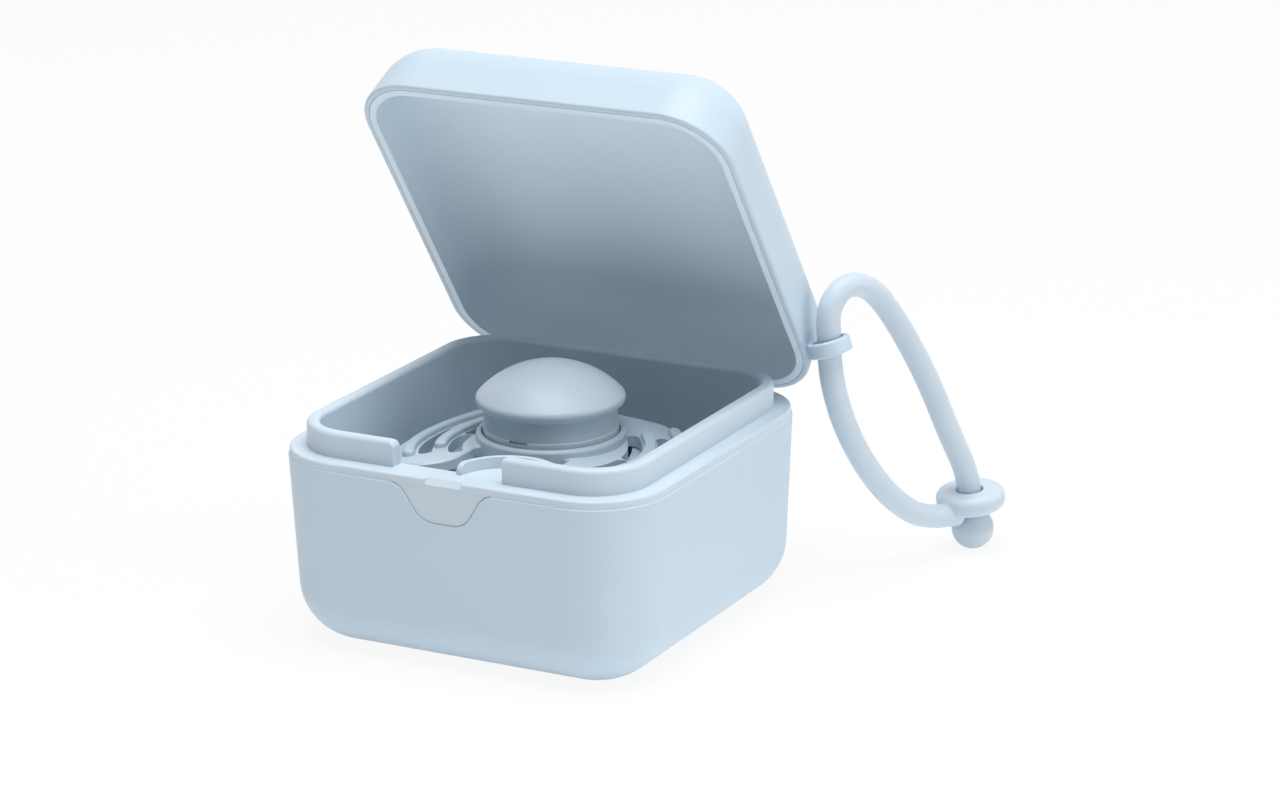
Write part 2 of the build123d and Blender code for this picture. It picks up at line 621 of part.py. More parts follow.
def shield_plan():
    """The shield's plan: round, with straight ends, two wings at the front and a round middle."""
    wing = NOSE_HALF_WIDTH + NOSE_FLARE
    flare_end = NOSE_FLARE - SHIELD_FRONT
    with BuildSketch(PACIFIER_PLANE.offset(SHIELD_TOP)) as plan:
        with Locations((0, -SHIELD_SHIFT)):
            Circle(SHIELD_HALF_WIDTH)
        with Locations((0, (SHIELD_BACK - SHIELD_FRONT) / 2)):
            Rectangle(2 * SHIELD_HALF_WIDTH, SHIELD_FRONT + SHIELD_BACK, mode=Mode.INTERSECT)
        fillet(plan.vertices().group_by(Axis.Y)[-1], SHIELD_CORNER)
        fillet(plan.vertices().filter_by(is_wing_tip), WING_TIP)
        with BuildLine():
            Polyline(
                (-wing, -SHIELD_FRONT), (-wing, -2 * SHIELD_FRONT), (wing, -2 * SHIELD_FRONT),
                (wing, -SHIELD_FRONT),
            )
            TangentArc((wing, -SHIELD_FRONT), (NOSE_HALF_WIDTH, flare_end), tangent=(-1, 0))
            Polyline(
                (NOSE_HALF_WIDTH, flare_end), (NOSE_HALF_WIDTH, -NOSE_ROOT),
                (-NOSE_HALF_WIDTH, -NOSE_ROOT), (-NOSE_HALF_WIDTH, flare_end),
            )
            TangentArc((-NOSE_HALF_WIDTH, flare_end), (-wing, -SHIELD_FRONT), tangent=(0, -1))
        make_face(mode=Mode.SUBTRACT)
        Circle(BOSS_RADIUS)
        fillet(plan.vertices().filter_by(is_nose_corner), NOSE_CORNER)
    return plan.sketch


def bent_slab(top, bottom):
    """A slab bent about Y, between two distances from the shield's bend axis."""
    half = SHIELD_HALF_WIDTH + SHIELD_CORNER
    slab_plane = Plane(
        (PACIFIER_X, PACIFIER_Y - half, SHIELD_AXIS_Z), x_dir=(0, 0, 1), z_dir=(0, 1, 0)
    )
    with BuildPart() as slab:
        with BuildSketch(slab_plane):
            Circle(top)
            Circle(bottom, mode=Mode.SUBTRACT)
            Rectangle(2 * top, 2 * half, align=(Align.MIN, Align.CENTER), mode=Mode.INTERSECT)
        extrude(amount=2 * half)
    return slab.part


def shield_arcs(arcs, width):
    """Slots or lips on both halves of the shield, each along a circle inside its outline."""
    with Locations((0, -SHIELD_SHIFT)):
        for margin, first, last in arcs:
            arc_slot(SHIELD_HALF_WIDTH - margin, first, last, width)
            arc_slot(SHIELD_HALF_WIDTH - margin, 180 - last, 180 - first, width)


def lip_pair(arc, raised):
    """Two rounded ridges on the shield, left and right, along one arc."""
    with BuildPart() as pair:
        with BuildSketch(PACIFIER_PLANE.offset(SHIELD_TOP - SHIELD_THICKNESS * 3)):
            shield_arcs((arc,), LIP_WIDTH)
        extrude(amount=SHIELD_THICKNESS * 4)
        add(raised, mode=Mode.INTERSECT)
        for face in pair.faces().sort_by(Axis.Z)[-2:]:
            fillet(face.edges(), LIP_ROUNDING)
    return pair.part


def make_pacifier_shield():
    slab = bent_slab(SHIELD_CROWN, SHIELD_CROWN - SHIELD_THICKNESS)
    raised = bent_slab(SHIELD_CROWN + LIP_HEIGHT, SHIELD_CROWN - SHIELD_THICKNESS / 2)
    with BuildPart() as shield:
        extrude(to_extrude=shield_plan(), amount=-4 * SHIELD_THICKNESS)
        add(slab, mode=Mode.INTERSECT)
        chamfer(shield.faces().sort_by(Axis.Z)[-1].outer_wire().edges(), EDGE_EASING)
        for arc in LIPS:
            add(lip_pair(arc, raised))
        with BuildSketch(PACIFIER_PLANE.offset(SHIELD_TOP + LIP_HEIGHT)):
            shield_arcs(VENT_SLOTS, SLOT_WIDTH)
        extrude(amount=-4 * SHIELD_THICKNESS - LIP_HEIGHT, mode=Mode.SUBTRACT)

        # The raised middle that holds the button's ring
        with BuildSketch(PACIFIER_PLANE.offset(BUTTON_SEAT_Z - SHIELD_THICKNESS / 4)):
            Circle(BOSS_RADIUS)
        extrude(amount=SHIELD_THICKNESS / 4 + BUTTON_SEAT_DROP + BOSS_RISE)
        fillet(shield.faces().sort_by(Axis.Z)[-1].edges(), BOSS_ROUNDING)
        with BuildSketch(PACIFIER_PLANE.offset(BUTTON_SEAT_Z)):
            Circle(BUTTON_SEAT_RADIUS)
        extrude(amount=2 * BUTTON_SEAT_DROP + BOSS_RISE, mode=Mode.SUBTRACT)
        with BuildSketch(PACIFIER_PLANE.offset(SHIELD_TOP)):
            Circle(TEAT_NECK + TEAT_GAP)
        extrude(amount=-2 * SHIELD_THICKNESS, mode=Mode.SUBTRACT)
    shield.part.label = "pacifier_shield"
    return shield.part


def make_pacifier_ring():
    flange_room = TEAT_FLANGE_THICKNESS + TEAT_GAP / 2
    with BuildPart() as ring:
        with BuildSketch(PACIFIER_PLANE.offset(BUTTON_SEAT_Z)):
            Circle(BUTTON_BASE_RADIUS)
        extrude(amount=BUTTON_BASE_HEIGHT)
        fillet(ring.faces().sort_by(Axis.Z)[-1].edges(), BUTTON_BASE_EASING)
        with BuildSketch(PACIFIER_PLANE.offset(BUTTON_SEAT_Z)):
            Circle(TEAT_FLANGE + TEAT_GAP)
        extrude(amount=flange_room, mode=Mode.SUBTRACT)
        with BuildSketch(PACIFIER_PLANE.offset(BUTTON_SEAT_Z)):
            Circle(TEAT_LIP)
        extrude(amount=BUTTON_BASE_HEIGHT, mode=Mode.SUBTRACT)
        with BuildSketch(PACIFIER_PLANE.offset(PARTING_Z)):
            with Locations((0, -BUTTON_BASE_RADIUS)):
                Rectangle(OPENER_WIDTH, 2 * OPENER_DEPTH)
        extrude(amount=-OPENER_HEIGHT, mode=Mode.SUBTRACT)
    ring.part.label = "pacifier_ring"
    return ring.part


def make_pacifier_button():
    lip_z = PARTING_Z + BUTTON_NECK_HEIGHT + BUTTON_LIP
    lip_x = BUTTON_RADIUS - BUTTON_LIP
    dome = (lip_x**2 + BUTTON_DOME**2 - BUTTON_LIP**2) / (2 * (BUTTON_DOME - BUTTON_LIP))
    slope = math.atan2(dome - BUTTON_DOME, lip_x)
    with BuildPart() as button:
        with BuildSketch(Plane((PACIFIER_X, PACIFIER_Y, 0), x_dir=(1, 0, 0), z_dir=(0, -1, 0))):
            with BuildLine():
                Polyline(
                    (0, PARTING_Z), (BUTTON_NECK, PARTING_Z), (BUTTON_NECK, lip_z - BUTTON_LIP),
                    (lip_x, lip_z - BUTTON_LIP),
                )
                lip = CenterArc((lip_x, lip_z), BUTTON_LIP, -90, 90 + math.degrees(slope))
                RadiusArc(lip @ 1, (0, lip_z + BUTTON_DOME), -dome)
                Line((0, lip_z + BUTTON_DOME), (0, PARTING_Z))
            make_face()
        revolve(axis=Axis((PACIFIER_X, PACIFIER_Y, 0), (0, 0, 1)))
        with BuildSketch(PACIFIER_PLANE.offset(PARTING_Z)):
            Circle(BUTTON_NECK - BUTTON_WALL)
        extrude(amount=BUTTON_NECK_HEIGHT, mode=Mode.SUBTRACT)
    button.part.label = "pacifier_button"
    return button.part


def make_pacifier_teat():
    flange_top = BUTTON_SEAT_Z + TEAT_FLANGE_THICKNESS
    root_top = shield_height(SHIELD_CROWN - SHIELD_THICKNESS, TEAT_ROOT) - TEAT_GAP
    root_bottom = root_top - TEAT_ROOT_HEIGHT
    waist_z = root_top - TEAT_WAIST_DOWN
    tip_z = root_top - TEAT_LENGTH
    bulb_z = tip_z + TEAT_BULB
    with BuildPart() as teat:
        with BuildSketch(Plane((PACIFIER_X, PACIFIER_Y, 0), x_dir=(1, 0, 0), z_dir=(0, -1, 0))):
            with BuildLine():
                Polyline(
                    (0, flange_top), (TEAT_FLANGE, flange_top), (TEAT_FLANGE, BUTTON_SEAT_Z),
                    (TEAT_NECK, BUTTON_SEAT_Z), (TEAT_NECK, root_top), (TEAT_ROOT, root_top),
                )
                Spline(
                    (TEAT_ROOT, root_top), (TEAT_WAIST, waist_z), (TEAT_BULB, bulb_z), (0, tip_z),
                    tangents=((0, -1), (-1, 0)),
                )
                Line((0, tip_z), (0, flange_top))
            make_face()
        revolve(axis=Axis((PACIFIER_X, PACIFIER_Y, 0), (0, 0, 1)))
    teat.part.label = "pacifier_teat"
    return teat.part


def strap_plane_at(along, up, direction):
    """A plane across the strap at a point of its route, facing a direction in the strap's plane."""
    normal = STRAP_PLANE.x_dir * direction[0] + STRAP_PLANE.y_dir * direction[1]
    place = STRAP_PLANE.from_local_coords(Vector(along, up, 0))
    return Plane(place, x_dir=STRAP_PLANE.z_dir, z_dir=normal)


def make_strap_cord():
    runs = [math.dist(*pair) for pair in zip(STRAP_ROUTE, STRAP_ROUTE[1:])]
    headings = [
        math.atan2(after[1] - before[1], after[0] - before[0])
        for before, after in zip(STRAP_ROUTE, STRAP_ROUTE[1:])
    ]
    radii = []
    for number in range(len(runs) - 1):
        turn = abs(math.remainder(headings[number + 1] - headings[number], 2 * math.pi))
        radii.append(0.45 * min(runs[number], runs[number + 1]) / math.tan(turn / 2))
    first_direction = (math.cos(headings[0]), math.sin(headings[0]))
    with BuildPart() as cord:
        with BuildLine(STRAP_PLANE) as route:
            FilletPolyline(*STRAP_ROUTE, radius=radii)
        with BuildSketch(strap_plane_at(*STRAP_ROUTE[0], first_direction)):
            Circle(CORD_RADIUS)
        sweep()
    length = route.wire().length
    print("strap radii", [round(radius, 1) for radius in radii])
    print("strap length", round(length, 1), "volume share",
          round(cord.part.volume / (length * math.pi * CORD_RADIUS**2), 4))
    cord.part.label = "strap_cord"
    return cord.part


def make_strap_ring():
    axis = (-math.sin(LEAN), math.cos(LEAN))
    half = RING_THICKNESS / 2
    under = strap_plane_at(RING_ALONG - half * axis[0], RING_UP - half * axis[1], axis)
    boss = strap_plane_at(BOSS_ALONG, BOSS_UP, BOSS_DIRECTION)
    with BuildPart() as ring:
        with BuildSketch(under):
            Circle(RING_RADIUS)
        extrude(amount=RING_THICKNESS)
        fillet(ring.edges(), RING_EASING)
        with BuildSketch(boss):
            Circle(CORD_RADIUS)
        extrude(amount=BOSS_LENGTH)
        with BuildSketch(under.offset(-RING_THICKNESS)):
            Circle(CORD_RADIUS + RING_BORE_GAP)
        extrude(amount=3 * RING_THICKNESS, mode=Mode.SUBTRACT)
    ring.part.label = "strap_ring"
    return ring.part


def make_strap_ball():
    axis = (-math.sin(LEAN), math.cos(LEAN))
    middle = STRAP_PLANE.from_local_coords(Vector(BALL_ALONG, BALL_RADIUS, 0))
    with BuildPart() as ball:
        with Locations(middle):
            Sphere(BALL_RADIUS)
        with BuildSketch(strap_plane_at(BALL_ALONG, BALL_RADIUS, axis)):
            Circle(CORD_RADIUS)
        extrude(amount=BALL_RADIUS + BALL_STUB)
    ball.part.label = "strap_ball"
    return ball.part


# ---- make and write ----
pieces = [
    make_outer_shell(),
    make_inner_tub(),
    make_hinge_pin(-1, "hinge_pin_left"),
    make_hinge_pin(1, "hinge_pin_right"),
    make_lid_shell(),
    make_lid_liner(),
    make_tray_insert(),
    make_pacifier_shield(),
    make_pacifier_ring(),
    make_pacifier_button(),
    make_pacifier_teat(),
    make_strap_cord(),
    make_strap_ring(),
    make_strap_ball(),
]
for piece in pieces:
    export_step(piece, f"parts/{piece.label}.step")
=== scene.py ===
"""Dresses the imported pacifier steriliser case.

It adds the finishes, the soft strap and teat, the camera, the light and the floor.

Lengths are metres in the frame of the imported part: +Z up, +X to the right and the front towards -Y.
Sizes that a maker would read off a drawing are written in millimetres and multiplied by MM.
"""

from __future__ import annotations

import logging
import math
from dataclasses import dataclass, field
from enum import Enum

import bpy
from mathutils import Matrix, Vector

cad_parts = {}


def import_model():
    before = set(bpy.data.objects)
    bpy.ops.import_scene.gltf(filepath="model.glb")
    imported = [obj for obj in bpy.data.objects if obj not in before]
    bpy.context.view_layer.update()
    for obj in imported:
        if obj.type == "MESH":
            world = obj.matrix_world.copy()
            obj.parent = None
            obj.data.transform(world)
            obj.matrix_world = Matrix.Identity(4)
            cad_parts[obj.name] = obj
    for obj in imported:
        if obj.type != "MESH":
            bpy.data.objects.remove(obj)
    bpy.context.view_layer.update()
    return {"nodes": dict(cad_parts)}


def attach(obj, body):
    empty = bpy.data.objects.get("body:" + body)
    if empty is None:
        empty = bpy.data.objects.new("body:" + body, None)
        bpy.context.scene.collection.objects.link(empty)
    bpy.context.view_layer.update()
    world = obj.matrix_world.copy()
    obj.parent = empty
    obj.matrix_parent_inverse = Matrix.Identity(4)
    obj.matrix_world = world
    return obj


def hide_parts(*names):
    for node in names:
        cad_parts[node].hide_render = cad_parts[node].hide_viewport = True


LOG = logging.getLogger("steriliser_case")
MM = 0.001
Colour = tuple[float, float, float]
WHITE: Colour = (1.0, 1.0, 1.0)
ROUND_SIDES = 64                # sides of every round bar and ball
BALL_BANDS = 32                 # bands of every ball from pole to pole
SMOOTHING = 0.6                 # strength of each round of smoothing
WELD = 0.001 * MM               # points nearer than this become one
CORD_STEPS = 10                 # steps of the cord between two of its points
CORD_FACETS = 8                 # facets in a quarter of the cord's round


# ---------------------------------------------------------------- shader helpers
@dataclass(frozen=True)
class Maths:
    """A number that changes over a surface, with Python's + and *.

    Attributes:
        sheet: The node sheet that the number belongs to.
        socket: The output socket that gives the number.
    """

    sheet: "NodeSheet"
    socket: bpy.types.NodeSocket

    def _join(self, operation: str, first: object, second: object) -> "Maths":
        """Adds one Math node.

        Args:
            operation: The Math node's operation.
            first: A number or another Maths value.
            second: A number or another Maths value.

        Returns:
            The node's result.
        """
        node = self.sheet.add("ShaderNodeMath", {"operation": operation}, {0: first, 1: second})
        return Maths(self.sheet, node.outputs[0])

    def __add__(self, other: object) -> "Maths":
        """self + other."""
        return self._join("ADD", self, other)

    def __radd__(self, other: object) -> "Maths":
        """other + self."""
        return self._join("ADD", other, self)

    def __mul__(self, other: object) -> "Maths":
        """self * other."""
        return self._join("MULTIPLY", self, other)

    def __rmul__(self, other: object) -> "Maths":
        """other * self."""
        return self._join("MULTIPLY", other, self)


class NodeSheet:
    """A material's nodes, with one method that adds any node."""

    def __init__(self, name: str) -> None:
        """Makes an empty material.

        Args:
            name: The material's name.
        """
        self.material = bpy.data.materials.new(name)
        self.material.use_nodes = True
        self.nodes = self.material.node_tree.nodes
        self.links = self.material.node_tree.links
        self.nodes.clear()

    def add(
        self, kind: str, settings: dict | None = None, inputs: dict | None = None
    ) -> bpy.types.Node:
        """Adds a node, sets it up and feeds its sockets.

        Args:
            kind: The node's type name.
            settings: Attributes of the node, set first.
            inputs: Values, sockets or Maths values, by the socket's name or number.

        Returns:
            The new node.
        """
        node = self.nodes.new(kind)
        for name, value in (settings or {}).items():
            setattr(node, name, value)
        for name, value in (inputs or {}).items():
            source = value.socket if isinstance(value, Maths) else value
            if isinstance(source, bpy.types.NodeSocket):
                self.links.new(source, node.inputs[name])
            else:
                node.inputs[name].default_value = source
        return node

    def join(self, kind: str, inputs: dict) -> bpy.types.NodeSocket:
        """Adds a node and gives its first output.

        Args:
            kind: The node's type name.
            inputs: Values, sockets or Maths values, by the socket's name or number.

        Returns:
            The output's socket.
        """
        return self.add(kind, None, inputs).outputs[0]

    def place(self) -> bpy.types.NodeSocket:
        """Gives each point's place on the object, in metres.

        Returns:
            The place's socket.
        """
        return self.add("ShaderNodeTexCoord").outputs["Object"]

    def noise(self, noise: "Noise") -> Maths:
        """Gives a noise from 0 to 1.

        Args:
            noise: The noise's settings.

        Returns:
            The noise's value.
        """
        inputs = {
            "Vector": self.place(),
            "Scale": noise.per_metre,
            "Detail": noise.detail,
            "Roughness": noise.roughness,
        }
        return Maths(self, self.join("ShaderNodeTexNoise", inputs))

    def tint(self, colour: Colour, other: Colour, share: Maths) -> bpy.types.NodeSocket:
        """Mixes two colours by a share that changes over the surface.

        Args:
            colour: The colour at a share of 0.
            other: The colour at a share of 1.
            share: How much of the other colour shows.

        Returns:
            The mixed colour's socket.
        """
        inputs = {0: share, 6: (*colour, 1.0), 7: (*other, 1.0)}
        return self.add("ShaderNodeMix", {"data_type": "RGBA"}, inputs).outputs[2]

    def bump(self, height: Maths, depth: float, strength: float) -> bpy.types.NodeSocket:
        """Turns a height into a relief.

        Args:
            height: The relief's height, from 0 to 1.
            depth: The depth that a height of 1 stands for, in metres.
            strength: The relief's strength.

        Returns:
            The relief's normal.
        """
        inputs = {"Height": height, "Distance": depth, "Strength": strength}
        return self.join("ShaderNodeBump", inputs)

    def finish(self, inputs: dict) -> bpy.types.Material:
        """Adds the surface shader and the output.

        Args:
            inputs: The surface shader's values and links, by socket name.

        Returns:
            The finished material.
        """
        surface = self.join("ShaderNodeBsdfPrincipled", inputs)
        self.add("ShaderNodeOutputMaterial", None, {"Surface": surface})
        return self.material


# ---------------------------------------------------------------- finishes
def scaled(colour: Colour, factor: float) -> Colour:
    """Makes a colour darker or lighter.

    Args:
        colour: The colour, linear.
        factor: What each of its channels is multiplied by.

    Returns:
        The new colour, at most white.
    """
    return tuple(min(1.0, channel * factor) for channel in colour)


class MouldGrain(Enum):
    """How coarse the mould's spark-eroded surface is, as bumps to a metre and depth in metres."""

    SATIN = (5200.0, 0.006 * MM)
    FINE = (3600.0, 0.011 * MM)
    COARSE = (2600.0, 0.016 * MM)


@dataclass(frozen=True)
class Noise:
    """One noise's settings.

    Attributes:
        per_metre: How many bumps of noise lie along a metre.
        detail: Octaves of finer noise.
        roughness: Strength of the finer noise.
    """

    per_metre: float
    detail: float
    roughness: float = 0.5


PLASTIC_DRIFT = Noise(28.0, 2.0)
PLASTIC_CLOUDS = Noise(160.0, 3.0)
PLASTIC_SINK = Noise(45.0, 1.0)
SILICONE_DRIFT = Noise(70.0, 2.0)
SILICONE_DUST = Noise(900.0, 4.0, 0.65)
GRAIN_DETAIL = 2.0
GRAIN_ROUGHNESS = 0.6


@dataclass(frozen=True)
class MouldedPlastic:
    """A pale moulded plastic with a fine mould grain and slow drifts of tone.

    Attributes:
        name: The material's name.
        colour: Its colour, linear.
        roughness: Its middle roughness.
        grain: How coarse the mould's surface is.
        drift: How far the tone drifts over the piece, as a share.
        cloud_share: How much of the drift of tone the smaller clouds make.
        cloud_gloss: How far the clouds change the roughness.
        grain_gloss: How far the grain changes the roughness.
        sink: Depth of the slow waves that cooling leaves in the walls, in metres.
        relief: Strength of the grain and the waves.
        ior: The plastic's index of refraction.
        shine: How strongly its surface reflects.
    """

    name: str
    colour: Colour
    roughness: float
    grain: MouldGrain
    drift: float = 0.035
    cloud_share: float = 0.3
    cloud_gloss: float = 0.08
    grain_gloss: float = 0.05
    sink: float = 0.02 * MM
    relief: float = 0.6
    ior: float = 1.49
    shine: float = 0.42

    def make(self) -> bpy.types.Material:
        """Makes the material.

        Returns:
            The material.
        """
        sheet = NodeSheet(self.name)
        slow = sheet.noise(PLASTIC_DRIFT)
        cloudy = sheet.noise(PLASTIC_CLOUDS)
        per_metre, depth = self.grain.value
        grain = sheet.noise(Noise(per_metre, GRAIN_DETAIL, GRAIN_ROUGHNESS))
        darker = scaled(self.colour, 1 - self.drift)
        lighter = scaled(self.colour, 1 + self.drift)
        share = slow * (1 - self.cloud_share) + cloudy * self.cloud_share
        height = grain * (depth / self.sink) + sheet.noise(PLASTIC_SINK)
        least_rough = self.roughness - (self.cloud_gloss + self.grain_gloss) / 2
        return sheet.finish({
            "Base Color": sheet.tint(darker, lighter, share),
            "Roughness": cloudy * self.cloud_gloss + grain * self.grain_gloss + least_rough,
            "Normal": sheet.bump(height, self.sink, self.relief),
            "IOR": self.ior,
            "Specular IOR Level": self.shine,
        })


@dataclass(frozen=True)
class SoftSilicone:
    """A soft silicone that lets a little light in and holds a trace of dust.

    Attributes:
        name: The material's name.
        colour: Its colour, linear.
        roughness: Its middle roughness, about.
        depth: How deep light goes into it, in metres.
        drift: How far the tone drifts over the piece, as a share.
        dust_share: How much of the drift of tone the dust makes.
        dust_gloss: How far the dust changes the roughness.
        drift_gloss: How far the drift changes the roughness.
        gloss_below: How far its least roughness lies below the middle one.
        wave: How much higher the slow waves are than the dust.
        waviness: Depth of the dust's relief, in metres.
        relief: Strength of the relief.
        ior: The silicone's index of refraction.
        glow: How much of the light goes into it.
        glow_radius: How far each colour of light goes, as a share of the depth.
    """

    name: str
    colour: Colour
    roughness: float
    depth: float = 0.8 * MM
    drift: float = 0.05
    dust_share: float = 0.4
    dust_gloss: float = 0.14
    drift_gloss: float = 0.05
    gloss_below: float = 0.1
    wave: float = 2.0
    waviness: float = 0.012 * MM
    relief: float = 0.5
    ior: float = 1.41
    glow: float = 0.35
    glow_radius: tuple[float, float, float] = (0.9, 1.0, 1.1)

    def make(self) -> bpy.types.Material:
        """Makes the material.

        Returns:
            The material.
        """
        sheet = NodeSheet(self.name)
        dust = sheet.noise(SILICONE_DUST)
        slow = sheet.noise(SILICONE_DRIFT)
        pale = scaled(self.colour, 1 + self.drift)
        deep = scaled(self.colour, 1 - self.drift)
        share = slow * (1 - self.dust_share) + dust * self.dust_share
        least_rough = self.roughness - self.gloss_below
        return sheet.finish({
            "Base Color": sheet.tint(deep, pale, share),
            "Roughness": dust * self.dust_gloss + slow * self.drift_gloss + least_rough,
            "Normal": sheet.bump(dust + slow * self.wave, self.waviness, self.relief),
            "IOR": self.ior,
            "Subsurface Weight": self.glow,
            "Subsurface Radius": self.glow_radius,
            "Subsurface Scale": self.depth,
        })


CASE_BLUE: Colour = (0.562, 0.685, 0.790)
# The tub's blue is the case plastic painted a little paler: painted light on its collar.
TUB_BLUE_PAINTED_LIGHTER: Colour = (0.603, 0.706, 0.792)
# The lid liner's blue is the case plastic painted paler: painted light on the lid's shaded inside.
LINER_BLUE_PAINTED_LIGHTER: Colour = (0.725, 0.830, 0.915)
PACIFIER_BLUE: Colour = (0.535, 0.633, 0.717)
SILICONE_BLUE: Colour = (0.590, 0.685, 0.768)
TEAT_CLEAR: Colour = (0.760, 0.800, 0.820)


class Palette:
    """Every finish of the object, made once."""

    def __init__(self) -> None:
        """Makes the materials."""
        self.case = MouldedPlastic("case_plastic", CASE_BLUE, 0.46, MouldGrain.FINE).make()
        # The tub's paler blue is painted light on its collar.
        self.tub = MouldedPlastic("tub_plastic_painted_lighter", TUB_BLUE_PAINTED_LIGHTER, 0.42, MouldGrain.SATIN).make()
        # The liner's paler blue is painted light on the lid's inside.
        self.liner = MouldedPlastic("liner_plastic", LINER_BLUE_PAINTED_LIGHTER, 0.50, MouldGrain.COARSE).make()
        self.tray = MouldedPlastic("tray_plastic", CASE_BLUE, 0.48, MouldGrain.FINE).make()
        self.pin = MouldedPlastic("pin_plastic", CASE_BLUE, 0.38, MouldGrain.SATIN).make()
        self.pacifier = MouldedPlastic(
            "pacifier_plastic", PACIFIER_BLUE, 0.40, MouldGrain.SATIN
        ).make()
        self.strap = SoftSilicone("strap_silicone", SILICONE_BLUE, 0.44).make()
        self.teat = SoftSilicone("teat_silicone", TEAT_CLEAR, 0.30, 2.0 * MM).make()


# ---------------------------------------------------------------- modelling helpers
def select_none() -> None:
    """Leaves nothing selected."""
    if bpy.context.mode != "OBJECT":
        bpy.ops.object.mode_set(mode="OBJECT")
    bpy.ops.object.select_all(action="DESELECT")


def pick(piece: bpy.types.Object) -> None:
    """Selects one object and makes it the active one.

    Args:
        piece: The object to work on.
    """
    select_none()
    piece.select_set(True)
    bpy.context.view_layer.objects.active = piece


def newest(name: str) -> bpy.types.Object:
    """Names the object that an operator has just added.

    Args:
        name: The name that it gets.

    Returns:
        The object.
    """
    piece = bpy.context.object
    piece.name = name
    piece.data.name = name
    return piece


def modify(piece: bpy.types.Object, kind: str, **settings: object) -> None:
    """Adds a modifier and applies it.

    Args:
        piece: The object to change.
        kind: The modifier's type.
        **settings: The modifier's own settings.
    """
    pick(piece)
    modifier = piece.modifiers.new(kind.lower(), kind)
    for setting, value in settings.items():
        setattr(modifier, setting, value)
    bpy.ops.object.modifier_apply(modifier=modifier.name)


def merge(piece: bpy.types.Object, tool: bpy.types.Object, operation: str) -> None:
    """Joins a tool to a piece, or cuts it out, and removes the tool.

    Args:
        piece: The object that stays.
        tool: The object that is used up.
        operation: UNION or DIFFERENCE.
    """
    modify(piece, "BOOLEAN", object=tool, operation=operation, solver="EXACT")
    bpy.data.objects.remove(tool)


def melt(piece: bpy.types.Object, voxel: float, rounds: int) -> None:
    """Melts a joined shape into one skin and smooths it.

    Args:
        piece: The joined shape.
        voxel: Size of the steps that its skin is melted in.
        rounds: How many times its skin is smoothed.
    """
    modify(piece, "REMESH", mode="VOXEL", voxel_size=voxel, adaptivity=0.0)
    modify(piece, "SMOOTH", factor=SMOOTHING, iterations=rounds)


def settle(piece: bpy.types.Object) -> None:
    """Puts a finished object's place into its mesh, smooths it and turns its faces outwards.

    Args:
        piece: The finished object.
    """
    pick(piece)
    bpy.ops.object.transform_apply(location=True, rotation=True, scale=True)
    bpy.ops.object.mode_set(mode="EDIT")
    bpy.ops.mesh.select_all(action="SELECT")
    bpy.ops.mesh.remove_doubles(threshold=WELD)
    bpy.ops.mesh.normals_make_consistent(inside=False)
    bpy.ops.object.mode_set(mode="OBJECT")
    bpy.ops.object.shade_smooth()


def dress(piece: bpy.types.Object, finish: bpy.types.Material) -> None:
    """Gives an object one finish in all its material slots.

    Args:
        piece: The object to dress.
        finish: The finish.
    """
    if not piece.material_slots:
        piece.data.materials.append(finish)
    for slot in piece.material_slots:
        slot.material = finish


